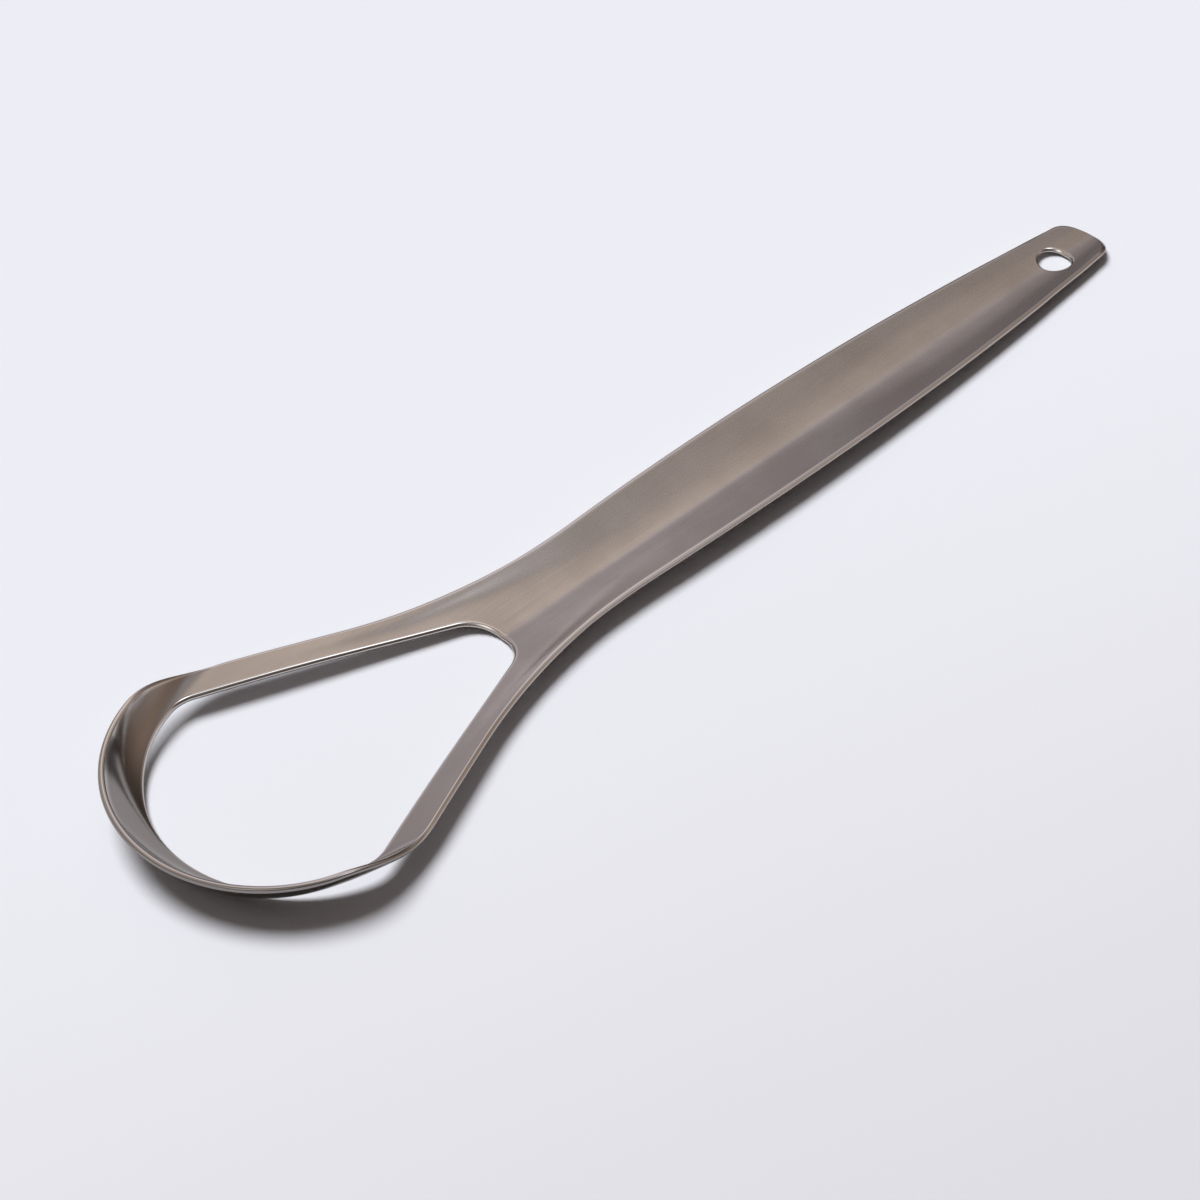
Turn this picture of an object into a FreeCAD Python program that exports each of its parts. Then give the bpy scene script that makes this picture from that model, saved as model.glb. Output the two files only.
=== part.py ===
import FreeCAD, Part

# A tongue scraper pressed from one sheet of stainless steel: a dished scraping rim, two flat arms round
# a teardrop opening, and a trough-shaped handle with a hanging hole. The pressing is divided at its forming
# lines into zones that meet face to face. X runs from the rim to the tail, Y across, Z up from the table.
# While it is laid out, X counts from the front of the rim's upper edge. At the end the whole pressing is
# moved along X, so that its origin lies under the middle of its length.

import math
import os

from FreeCAD import Vector

# Driving dimensions, in millimetres and degrees

# The sheet
SHEET = 0.8               # thickness of the steel
LENGTH = 155.0            # upper edge of the rim at the front, to the end of the tail

# Outer edge in plan
RIM_RADIUS = 18.1         # circle of the rim's upper edge
ARM_ANGLE = 22.6          # outer edge of an arm, to the long axis
WAIST_RADIUS = 71.0       # hollow curve from arm to handle
GRIP_HALF_WIDTH = 7.0     # half of the handle at its widest
GRIP_X = 92.6             # where the handle is widest
TAIL_RADIUS = 3.95        # round end of the tail

# Opening of the loop in plan
RIM_RUN_FRONT = 4.4       # plan width of the sloping rim at the front
RIM_RUN_SIDE = 2.1        # and at its sides
ARM_WIDTH = 3.4           # width of an arm where it leaves the rim
ARM_TAPER = 1.1           # by how much an arm's inner edge is less steep than its outer edge
CORNER_RADIUS = 4.5       # inner corner between rim and arm
NECK_RADIUS = 4.6         # round end of the opening at the neck
FORK_LEAD = 2.4           # how far before the round end the arms join the neck

# Heights of the upper face above the table
RIM_FRONT_HEIGHT = 5.75   # upper edge of the rim at the front
RIM_SIDE_HEIGHT = 5.95    # and before it folds down to the arms
RIM_BOWL = 0.35           # hollow of the rim's face
RIM_LIFT = 27.0           # angle round the rim where its lower edge starts to rise from the table
FOLD_START = 70.0         # angle round the rim where its upper edge starts to fold down
FOLD_END = 108.0          # and where it is level with the arm
RIM_TURN = 94.0           # angle of the upper edge that faces the start of the inner corner
ARM_TURN = 106.0          # and of the one that faces its end
ARM_HEIGHT = 3.15         # outer edge of an arm behind the fold
ARM_DROP = 0.5            # inner edge of an arm below its outer edge, behind the fold
FORK_HEIGHT = 2.78        # outer edge where the arms join the neck
GRIP_HEIGHT = 3.0         # outer edge of the handle at its crest
CREST_RUN = 30.0          # fork to that crest
TAIL_HEIGHT = 1.75        # outer edge at the tail
KEEL_HALF_WIDTH = 2.1     # half of the trough's rounded keel, from which its straight flanks rise

# Hanging hole
HANG_HOLE = 4.2           # diameter
HANG_INSET = 7.8          # centre to the end of the tail

# Zones of the pressing
NECK_LENGTH = 18.0        # fork to handle, in which the flat floor draws in to a keel
TAIL_LENGTH = 18.0        # hanging end

# How finely the forms are laid out
RIM_STEPS = 9             # stretches of the rim from its front to the inner corner
CORNER_STEPS = 2          # and round that corner
ARM_STEPS = 5
NECK_STEPS = 6
HANDLE_STEPS = 8
TAIL_STEPS = 5
BAND_SPOTS = (0.0, 0.5, 1.0)
KEEL_SPOTS = (-1.0, -0.5, 0.0, 0.5, 1.0)
STRAIGHT = (0.0, 1.0)
SLOPE_STEP = 1e-4         # share of a section over which its slope is taken
SETTLE = 30               # rounds in which a length that depends on itself settles


def smooth(t):
    """Ease from 0 to 1 with level ends."""
    t = min(max(t, 0.0), 1.0)
    return t * t * (3.0 - 2.0 * t)


def polar(centre, radius, degrees):
    """Point on a circle, with the angle counted from the front (-X) towards +Y."""
    a = math.radians(degrees)
    return Vector(centre.x - radius * math.cos(a), centre.y + radius * math.sin(a), 0)


class Outline:
    """Plan of the pressing: its outer edge and the edge of its opening, for the +Y half."""

    def __init__(self):
        self.rim_centre = Vector(RIM_RADIUS, 0, 0)
        self.place_outer_edge()
        self.place_opening()

    def place_outer_edge(self):
        """Arm line tangent to the rim, then a waist curve tangent to that line and to the handle's side."""
        a = math.radians(ARM_ANGLE)
        self.normal = Vector(math.sin(a), math.cos(a), 0)
        along = Vector(math.cos(a), -math.sin(a), 0)
        self.arm_start = self.rim_centre + self.normal * RIM_RADIUS
        run = LENGTH - TAIL_RADIUS - GRIP_X
        taper = GRIP_HALF_WIDTH - TAIL_RADIUS
        self.grip_radius = (run ** 2 + taper ** 2) / (2.0 * taper)
        self.grip_centre = Vector(GRIP_X, GRIP_HALF_WIDTH - self.grip_radius, 0)
        base = self.arm_start + self.normal * WAIST_RADIUS
        rel = base - self.grip_centre
        reach = self.grip_radius + WAIST_RADIUS
        b = rel.dot(along)
        self.waist_centre = base - along * (b + math.sqrt(b * b - rel.dot(rel) + reach * reach))
        self.waist_start = self.waist_centre - self.normal * WAIST_RADIUS
        self.waist_end = self.waist_centre + (self.grip_centre - self.waist_centre) * (WAIST_RADIUS / reach)

    def place_opening(self):
        """Front arc, rounded corner, straight inner edge of the arm and round end at the neck."""
        side = RIM_RADIUS - RIM_RUN_SIDE
        mid = (RIM_RADIUS ** 2 + side ** 2 - RIM_RUN_FRONT ** 2) / (2.0 * (RIM_RADIUS - RIM_RUN_FRONT))
        self.front_centre = Vector(mid, 0, 0)
        self.front_radius = mid - RIM_RUN_FRONT
        a = math.radians(ARM_ANGLE - ARM_TAPER)
        self.inner_normal = Vector(math.sin(a), math.cos(a), 0)
        inner_along = Vector(math.cos(a), -math.sin(a), 0)
        start = self.arm_start - self.normal * ARM_WIDTH
        self.inner_reach = self.inner_normal.dot(start)
        off = self.inner_reach - CORNER_RADIUS - self.inner_normal.dot(self.front_centre)
        back = math.sqrt((self.front_radius - CORNER_RADIUS) ** 2 - off ** 2)
        self.corner_centre = self.front_centre + self.inner_normal * off - inner_along * back
        to_corner = self.corner_centre - self.front_centre
        self.front_turn = math.degrees(math.atan2(to_corner.y, -to_corner.x))
        self.corner_turn = 90.0 + ARM_ANGLE - ARM_TAPER
        self.corner_end = polar(self.corner_centre, CORNER_RADIUS, self.corner_turn)
        self.neck_centre = Vector((self.inner_reach - NECK_RADIUS) / math.sin(a), 0, 0)
        self.neck_start = self.neck_centre + self.inner_normal * NECK_RADIUS
        self.fork_x = self.neck_start.x - FORK_LEAD
        self.crest_x = self.fork_x + CREST_RUN

    def outer_y(self, x):
        """Half-width of the outer edge behind the rim's widest point."""
        if x < self.arm_start.x:
            return math.sqrt(RIM_RADIUS ** 2 - (x - RIM_RADIUS) ** 2)
        if x < self.waist_start.x:
            return self.arm_start.y - (x - self.arm_start.x) * math.tan(math.radians(ARM_ANGLE))
        if x < self.waist_end.x:
            return self.waist_centre.y - math.sqrt(WAIST_RADIUS ** 2 - (x - self.waist_centre.x) ** 2)
        return self.grip_centre.y + math.sqrt(self.grip_radius ** 2 - (x - GRIP_X) ** 2)

    def inner_y(self, x):
        """Half-width of the opening along the arm's straight inner edge."""
        return (self.inner_reach - self.inner_normal.x * x) / self.inner_normal.y

    def opening_face(self):
        """Plan face of the whole opening."""
        def flip(p):
            return Vector(p.x, -p.y, p.z)

        front = polar(self.front_centre, self.front_radius, self.front_turn)
        corner = polar(self.corner_centre, CORNER_RADIUS, (self.front_turn + self.corner_turn) / 2.0)
        nose = polar(self.front_centre, self.front_radius, 0.0)
        neck = self.neck_centre + Vector(NECK_RADIUS, 0, 0)
        edges = [
            Part.Arc(flip(front), nose, front).toShape(),
            Part.Arc(front, corner, self.corner_end).toShape(),
            Part.makeLine(self.corner_end, self.neck_start),
            Part.Arc(self.neck_start, neck, flip(self.neck_start)).toShape(),
            Part.makeLine(flip(self.neck_start), flip(self.corner_end)),
            Part.Arc(flip(self.corner_end), flip(corner), flip(front)).toShape(),
        ]
        return Part.Face(Part.Wire(edges))


PLAN = Outline()


def edge_height(x):
    """Height of the outer edge from the fold to the tail."""
    if x < PLAN.fork_x:
        t = (x - PLAN.arm_start.x) / (PLAN.fork_x - PLAN.arm_start.x)
        return ARM_HEIGHT + (FORK_HEIGHT - ARM_HEIGHT) * smooth(t)
    if x < PLAN.crest_x:
        return FORK_HEIGHT + (GRIP_HEIGHT - FORK_HEIGHT) * smooth((x - PLAN.fork_x) / CREST_RUN)
    t = (x - PLAN.crest_x) / (LENGTH - PLAN.crest_x)
    return GRIP_HEIGHT + (TAIL_HEIGHT - GRIP_HEIGHT) * t * t * (2.0 - t)


def rim_height(degrees):
    """Height of the rim's upper edge at an angle round the rim."""
    level = RIM_FRONT_HEIGHT + (RIM_SIDE_HEIGHT - RIM_FRONT_HEIGHT) * min(degrees / FOLD_START, 1.0) ** 2
    return ARM_HEIGHT + (level - ARM_HEIGHT) * smooth((FOLD_END - degrees) / (FOLD_END - FOLD_START))


def rim_foot():
    """Height of the rim's inner edge at the front, so that the sheet's lower corner rests on the table."""
    foot = SHEET
    for _ in range(SETTLE):
        rise = RIM_FRONT_HEIGHT - foot - 4.0 * RIM_BOWL
        foot = SHEET * math.cos(math.atan2(rise, RIM_RUN_FRONT))
    return foot


def trough_height(x, y):
    """Upper face of the neck and handle: a flat floor at the fork that draws in to a rounded keel."""
    width = PLAN.outer_y(x)
    rise = edge_height(x) - SHEET
    inside = min(abs(y), KEEL_HALF_WIDTH)
    beyond = abs(y) - inside
    bend = rise / (KEEL_HALF_WIDTH * (2.0 * width - KEEL_HALF_WIDTH))
    keel = bend * inside * (inside + 2.0 * beyond)
    bowl = rise * (abs(y) / width) ** 3
    floor = 1.0 - smooth((x - PLAN.fork_x) / NECK_LENGTH)
    return SHEET + keel + (bowl - keel) * floor


def spline(points):
    """Smooth edge through points that are evenly spaced along it, and straight between only two."""
    curve = Part.BSplineCurve()
    curve.interpolate(Points=points, Parameters=[i / (len(points) - 1.0) for i in range(len(points))])
    return curve.toShape()


def strip_section(start, end, height, stretches):
    """Closed section of the sheet between two plan points.

    height gives the upper face over the fractions in each stretch, and the lower face lies one sheet below.
    """
    run = end - start

    def upper(q):
        return Vector(start.x + run.x * q, start.y + run.y * q, height(q))

    def lower(q):
        slope = (height(q + SLOPE_STEP) - height(q - SLOPE_STEP)) / (2.0 * SLOPE_STEP)
        away = Vector(0, 0, run.dot(run)) - run * slope
        return upper(q) - away.normalize() * SHEET

    first, last = stretches[0][0], stretches[-1][-1]
    edges = [spline([upper(q) for q in spots]) for spots in stretches]
    edges.append(Part.makeLine(upper(last), lower(last)))
    edges += [spline([lower(q) for q in spots[::-1]]) for spots in stretches[::-1]]
    edges.append(Part.makeLine(lower(first), upper(first)))
    return Part.Wire(edges)


def band_section(inner, outer, height, side):
    """Section across the rim or an arm, on the side of the axis that side gives."""
    start = Vector(inner.x, inner.y * side, 0)
    end = Vector(outer.x, outer.y * side, 0)
    return strip_section(start, end, height, [BAND_SPOTS])


def rim_section(step, side):
    """Section across the rim, at a step from the front (0) to the end of the inner corner."""
    if step <= RIM_STEPS:
        t = step / float(RIM_STEPS)
        inner = polar(PLAN.front_centre, PLAN.front_radius, PLAN.front_turn * t)
        turn = RIM_TURN * t
    else:
        t = (step - RIM_STEPS) / float(CORNER_STEPS)
        corner = PLAN.front_turn + (PLAN.corner_turn - PLAN.front_turn) * t
        inner = polar(PLAN.corner_centre, CORNER_RADIUS, corner)
        turn = RIM_TURN + (ARM_TURN - RIM_TURN) * t
    outer = polar(PLAN.rim_centre, RIM_RADIUS, turn)
    foot = rim_foot()
    low = foot + (ARM_HEIGHT - ARM_DROP - foot) * smooth((turn - RIM_LIFT) / (ARM_TURN - RIM_LIFT))
    high = rim_height(turn)
    hollow = RIM_BOWL * (1.0 - smooth((turn - FOLD_START) / (FOLD_END - FOLD_START)))

    def height(q):
        return low + (high - low) * q - hollow * 4.0 * q * (1.0 - q)

    return band_section(inner, outer, height, side)


def scraping_rim():
    """Dished band from one inner corner round the front to the other."""
    last = RIM_STEPS + CORNER_STEPS
    wires = [rim_section(step, -1) for step in range(last, 0, -1)]
    wires += [rim_section(step, 1) for step in range(last + 1)]
    return Part.makeLoft(wires, True, False)


def arm_section(t, side):
    """Section across an arm, flat at the fold (0) and one with the bowl at the fork (1)."""
    fold_x = polar(PLAN.rim_centre, RIM_RADIUS, ARM_TURN).x
    x_in = PLAN.corner_end.x + (PLAN.fork_x - PLAN.corner_end.x) * t
    x_out = fold_x + (PLAN.fork_x - fold_x) * t
    inner = Vector(x_in, PLAN.inner_y(x_in), 0)
    outer = Vector(x_out, PLAN.outer_y(x_out), 0)
    low = ARM_HEIGHT - ARM_DROP
    high = edge_height(x_out) if t > 0.0 else rim_height(ARM_TURN)

    def height(q):
        spot = inner + (outer - inner) * q
        flat = low + (high - low) * q
        return flat + (trough_height(spot.x, spot.y) - flat) * smooth(t)

    return band_section(inner, outer, height, side)


def arm(side):
    """Flat arm from the fold to the fork."""
    wires = [arm_section(step / float(ARM_STEPS), side) for step in range(ARM_STEPS + 1)]
    return Part.makeLoft(wires, True, False)


def trough(x_start, x_end, steps, flank_spots):
    """Length of the trough-shaped sheet between two stations.

    flank_spots are shares of a flank, from the keel's rounding (0) to the outer edge (1).
    """
    wires = []
    for step in range(steps + 1):
        x = x_start + (x_end - x_start) * step / float(steps)
        width = PLAN.outer_y(x)
        part = KEEL_HALF_WIDTH / width

        def height(q, x=x, width=width):
            return trough_height(x, q * width)

        flank = [part + (1.0 - part) * spot for spot in flank_spots]
        stretches = [[-q for q in flank[::-1]], [part * spot for spot in KEEL_SPOTS], flank]
        wires.append(strip_section(Vector(x, 0, 0), Vector(x, width, 0), height, stretches))
    return Part.makeLoft(wires, True, False)


def upright(face):
    """Cutting prism that stands right through the sheet."""
    face.translate(Vector(0, 0, -GRIP_HEIGHT))
    return face.extrude(Vector(0, 0, 3.0 * GRIP_HEIGHT))


def disc(x, radius):
    """Round plan face on the long axis."""
    return Part.Face(Part.Wire(Part.makeCircle(radius, Vector(x, 0, 0))))


def neck():
    """Fork where the arms run together behind the round end of the opening."""
    sheet = trough(PLAN.fork_x, PLAN.fork_x + NECK_LENGTH, NECK_STEPS, BAND_SPOTS)
    return sheet.cut(upright(PLAN.opening_face()))


def handle():
    """Grip between the neck and the hanging end."""
    return trough(PLAN.fork_x + NECK_LENGTH, LENGTH - TAIL_LENGTH, HANDLE_STEPS, STRAIGHT)


def hanging_end():
    """Tail with its round end and the hole to hang it by."""
    sheet = trough(LENGTH - TAIL_LENGTH, LENGTH + SHEET, TAIL_STEPS, STRAIGHT)
    tail_x = LENGTH - TAIL_RADIUS
    reach = 2.0 * TAIL_RADIUS
    waste = Part.makePlane(reach, 2.0 * reach, Vector(tail_x, -reach, 0))
    ends = upright(waste.cut(disc(tail_x, TAIL_RADIUS)))
    return sheet.cut(ends).cut(upright(disc(LENGTH - HANG_INSET, HANG_HOLE / 2.0)))


ZONES = {
    "scraping_rim": scraping_rim(),
    "left_arm": arm(1),
    "right_arm": arm(-1),
    "neck": neck(),
    "handle": handle(),
    "hanging_end": hanging_end(),
}

whole = Part.makeCompound(list(ZONES.values())).optimalBoundingBox(True, False)
to_middle = Vector(-whole.Center.x, 0, 0)
print("whole %.3f x %.3f x %.3f" % (whole.XLength, whole.YLength, whole.ZLength), "moved %.4f" % to_middle.x)

os.makedirs("parts", exist_ok=True)
for name, shape in ZONES.items():
    solid = shape.Solids[0].translated(to_middle)
    box = solid.optimalBoundingBox(True, False)
    print(name, "solids", len(shape.Solids), "valid", solid.isValid(), "volume %.2f" % solid.Volume,
          "x %.3f %.3f" % (box.XMin, box.XMax), "y %.3f %.3f" % (box.YMin, box.YMax),
          "z %.3f %.3f" % (box.ZMin, box.ZMax))
    solid.exportStep("parts/%s.step" % name)
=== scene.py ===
"""Looks of a tongue scraper pressed from one sheet of stainless steel.

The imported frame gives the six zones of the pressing. Each zone is replaced by a finer mesh of the same
sheet, with rounded edges and a satin finish, and the scraper lies on a pale table under soft studio light.
"""

import logging
import math
from dataclasses import dataclass, field
from enum import Enum
from typing import Any, Callable, Optional, TypeVar, Union

import bpy
import numpy as np
from mathutils import Matrix, Vector

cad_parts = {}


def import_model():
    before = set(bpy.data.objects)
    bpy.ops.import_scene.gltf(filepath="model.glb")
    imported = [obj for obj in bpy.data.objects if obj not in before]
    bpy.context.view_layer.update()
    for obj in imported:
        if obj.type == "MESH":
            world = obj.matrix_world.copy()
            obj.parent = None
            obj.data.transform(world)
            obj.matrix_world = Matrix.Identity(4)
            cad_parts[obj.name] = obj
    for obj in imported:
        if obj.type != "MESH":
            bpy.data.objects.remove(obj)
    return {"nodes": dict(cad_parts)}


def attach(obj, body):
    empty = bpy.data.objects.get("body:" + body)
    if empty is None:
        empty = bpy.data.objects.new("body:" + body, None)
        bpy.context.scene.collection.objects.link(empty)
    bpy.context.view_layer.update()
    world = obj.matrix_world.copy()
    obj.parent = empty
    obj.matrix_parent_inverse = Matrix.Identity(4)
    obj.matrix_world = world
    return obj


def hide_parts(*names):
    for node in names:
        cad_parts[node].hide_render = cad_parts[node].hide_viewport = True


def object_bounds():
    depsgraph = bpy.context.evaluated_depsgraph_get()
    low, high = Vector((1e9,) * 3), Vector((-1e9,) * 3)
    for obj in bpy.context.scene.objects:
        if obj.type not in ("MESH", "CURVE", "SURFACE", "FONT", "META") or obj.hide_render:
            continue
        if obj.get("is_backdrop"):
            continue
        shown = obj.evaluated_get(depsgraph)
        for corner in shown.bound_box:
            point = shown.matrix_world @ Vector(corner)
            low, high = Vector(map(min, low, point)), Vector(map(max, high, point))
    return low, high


MM = 0.001                    # metres in a millimetre
TINY = 1e-6                   # millimetres below which a point counts as lying on the long axis
NO_LENGTH = 1e-12             # least length that a vector is divided by
GRID = 1e5                    # steps in a millimetre; corners on the same step are one
CROWN = 4.0                   # brings the hollow q (1 - q) to 1 halfway, and is its slope at both ends
FLAT_BEVEL = 0.25             # swing of the normals, in radians, at which a round edge shades flat halfway
NOISE_MIDDLE = 0.5            # what a noise is on average
MIX_COLOURS = (6, 7)          # sockets of a Mix node that take the two colours
MIX_RESULT = 2                # and the one that gives the mixed colour
BODY = "root"                 # the one rigid body of the frame
LOG = logging.getLogger("tongue_scraper")

Colour = tuple[float, float, float]
Mark = tuple[float, float]    # how far a point is on an edge's upper rounding, which has a painted highlight, and how far it is buffed and painted darker as shade
Plan = np.ndarray             # a point in plan, (x, y) in millimetres
Path = Callable[[float], Plan]                   # share of a run to a point
Amount = TypeVar("Amount", float, np.ndarray)    # a number or a point


class Side(Enum):
    """The two halves of the pressing, as signs of Y."""

    LEFT = 1.0
    RIGHT = -1.0


class Zone(Enum):
    """Zones of the pressing, with the names of their nodes in the frame."""

    RIM = "scraping_rim"
    LEFT_ARM = "left_arm"
    RIGHT_ARM = "right_arm"
    NECK = "neck"
    HANDLE = "handle"
    TAIL = "hanging_end"

    def sides(self) -> tuple[Side, ...]:
        """Halves of the pressing on which the zone lies."""
        return {Zone.LEFT_ARM: (Side.LEFT,), Zone.RIGHT_ARM: (Side.RIGHT,)}.get(self, tuple(Side))


class Band(Enum):
    """Bands of the sheet's skin, in order round a row."""

    UPPER = "upper face"
    OUTER = "outer edge"
    LOWER = "lower face"
    INNER = "inner edge"


class Blend(Enum):
    """Ways to mix two colours."""

    MIX = "MIX"
    ADD = "ADD"
    MULTIPLY = "MULTIPLY"


def smooth(t: float) -> float:
    """Ease from 0 to 1 with level ends."""
    t = min(max(t, 0.0), 1.0)
    return t * t * (3.0 - 2.0 * t)


def between(start: Amount, end: Amount, t: float) -> Amount:
    """Value or point at share t of the way from start to end."""
    return start + (end - start) * t


def bend(t: float, soft: float) -> float:
    """A line that is level before 0 and rises evenly behind it, with a soft bend."""
    return (t + math.hypot(t, soft)) / 2.0


def polar(centre: Plan, radius: float, degrees: float) -> Plan:
    """Point on a circle, with the angle counted from the front (-X) towards +Y."""
    a = math.radians(degrees)
    return np.array((centre[0] - radius * math.cos(a), centre[1] + radius * math.sin(a)))


def direction(azimuth: float, elevation: float) -> Vector:
    """Direction at an azimuth, in degrees from +X towards +Y, and an elevation."""
    a, e = math.radians(azimuth), math.radians(elevation)
    return Vector((math.cos(a) * math.cos(e), math.sin(a) * math.cos(e), math.sin(e)))


def unit(vectors: np.ndarray) -> np.ndarray:
    """The same vectors at length one."""
    return vectors / np.maximum(np.linalg.norm(vectors, axis=-1, keepdims=True), NO_LENGTH)


def tangents(points: np.ndarray) -> np.ndarray:
    """Directions of lines of points.

    Args:
        points: Points along the first axis of the array, unevenly spaced.

    Returns:
        Unit tangents, true for a parabola through each three neighbours.
    """
    steps = np.diff(points, axis=0)
    lengths = np.maximum(np.linalg.norm(steps, axis=-1, keepdims=True), NO_LENGTH)
    chords = steps / lengths
    inner = (chords[:-1] * lengths[1:] + chords[1:] * lengths[:-1]) / (lengths[1:] + lengths[:-1])
    first = 2.0 * chords[:1] - inner[:1]
    last = 2.0 * chords[-1:] - inner[-1:]
    return unit(np.concatenate((first, inner, last)))


def add_object(name: str, data: bpy.types.ID) -> bpy.types.Object:
    """Put a mesh, lamp or camera into the scene.

    Args:
        name: Name of the object.
        data: What it holds.

    Returns:
        The object.
    """
    made = bpy.data.objects.new(name, data)
    bpy.context.scene.collection.objects.link(made)
    return made


@dataclass
class Outline:
    """Plan of the pressing's +Y half, in millimetres, with X counted from the front of the rim's edge."""

    length: float = 155.0             # rim's upper edge to the end of the tail
    rim_radius: float = 18.1          # circle of the rim's upper edge
    arm_angle: float = 22.6           # outer edge of an arm to the long axis, in degrees
    waist_radius: float = 71.0        # hollow curve from arm to handle
    grip_half_width: float = 7.0      # half of the handle at its widest
    grip_x: float = 92.6              # where the handle is widest
    tail_radius: float = 3.95         # round end of the tail
    rim_run_front: float = 4.4        # plan width of the sloping rim at the front
    rim_run_side: float = 2.1         # and at its sides
    arm_width: float = 3.4            # width of an arm where it leaves the rim
    arm_taper: float = 1.1            # by how much an arm's inner edge is less steep than its outer edge
    corner_radius: float = 4.5        # inner corner between rim and arm
    neck_radius: float = 4.6          # round end of the opening at the neck
    fork_lead: float = 2.4            # how far before the round end the arms join the neck
    neck_length: float = 18.0         # fork to handle
    tail_length: float = 18.0         # hanging end
    hang_hole: float = 4.2            # diameter of the hanging hole
    hang_inset: float = 7.8           # its centre to the end of the tail

    def __post_init__(self) -> None:
        """Work out the tangent points of both edges and where the zones meet."""
        self._place_outer_edge()
        self._place_opening()
        self.grip_start = self.fork_x + self.neck_length
        self.tail_start = self.length - self.tail_length

    def _place_outer_edge(self) -> None:
        """Arm line tangent to the rim, then a waist curve tangent to that line and to the handle's side."""
        a = math.radians(self.arm_angle)
        self.normal = np.array((math.sin(a), math.cos(a)))
        along = np.array((math.cos(a), -math.sin(a)))
        self.rim_centre = np.array((self.rim_radius, 0.0))
        self.arm_start = self.rim_centre + self.normal * self.rim_radius
        self.tail_x = self.length - self.tail_radius
        run = self.tail_x - self.grip_x
        taper = self.grip_half_width - self.tail_radius
        self.grip_radius = (run ** 2 + taper ** 2) / (2.0 * taper)
        self.grip_centre = np.array((self.grip_x, self.grip_half_width - self.grip_radius))
        base = self.arm_start + self.normal * self.waist_radius
        rel = base - self.grip_centre
        reach = self.grip_radius + self.waist_radius
        b = float(rel @ along)
        self.waist_centre = base - along * (b + math.sqrt(b * b - float(rel @ rel) + reach * reach))
        self.waist_start = self.waist_centre - self.normal * self.waist_radius
        self.waist_end = between(self.waist_centre, self.grip_centre, self.waist_radius / reach)

    def _place_opening(self) -> None:
        """Front arc, rounded corner, straight inner edge of the arm and round end at the neck."""
        side = self.rim_radius - self.rim_run_side
        mid = self.rim_radius ** 2 + side ** 2 - self.rim_run_front ** 2
        mid /= 2.0 * (self.rim_radius - self.rim_run_front)
        self.front_centre = np.array((mid, 0.0))
        self.front_radius = mid - self.rim_run_front
        a = math.radians(self.arm_angle - self.arm_taper)
        self.inner_normal = np.array((math.sin(a), math.cos(a)))
        inner_along = np.array((math.cos(a), -math.sin(a)))
        self.inner_reach = float(self.inner_normal @ (self.arm_start - self.normal * self.arm_width))
        off = self.inner_reach - self.corner_radius - float(self.inner_normal @ self.front_centre)
        back = math.sqrt((self.front_radius - self.corner_radius) ** 2 - off ** 2)
        self.corner_centre = self.front_centre + self.inner_normal * off - inner_along * back
        to_corner = self.corner_centre - self.front_centre
        self.front_turn = math.degrees(math.atan2(to_corner[1], -to_corner[0]))
        self.corner_turn = 90.0 + self.arm_angle - self.arm_taper
        self.corner_end = polar(self.corner_centre, self.corner_radius, self.corner_turn)
        self.neck_centre = np.array(((self.inner_reach - self.neck_radius) / math.sin(a), 0.0))
        self.neck_start = self.neck_centre + self.inner_normal * self.neck_radius
        self.fork_x = float(self.neck_start[0]) - self.fork_lead

    def outer(self, x: float) -> Plan:
        """Point of the outer edge behind the rim's widest part.

        Args:
            x: How far it is from the front.

        Returns:
            The point.
        """
        if x < self.arm_start[0]:
            y = math.sqrt(self.rim_radius ** 2 - (x - self.rim_radius) ** 2)
        elif x < self.waist_start[0]:
            y = self.arm_start[1] - (x - self.arm_start[0]) * math.tan(math.radians(self.arm_angle))
        elif x < self.waist_end[0]:
            y = self.waist_centre[1] - math.sqrt(self.waist_radius ** 2 - (x - self.waist_centre[0]) ** 2)
        else:
            y = self.grip_centre[1] + math.sqrt(self.grip_radius ** 2 - (x - self.grip_x) ** 2)
        return np.array((x, float(y)))

    def inner(self, x: float) -> Plan:
        """Point of an arm's straight inner edge."""
        return np.array((x, (self.inner_reach - self.inner_normal[0] * x) / self.inner_normal[1]))

    def tail_end(self, degrees: float) -> Plan:
        """Point of the tail's round end, with the angle counted from the tip."""
        return polar(np.array((self.tail_x, 0.0)), self.tail_radius, 180.0 - degrees)


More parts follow.
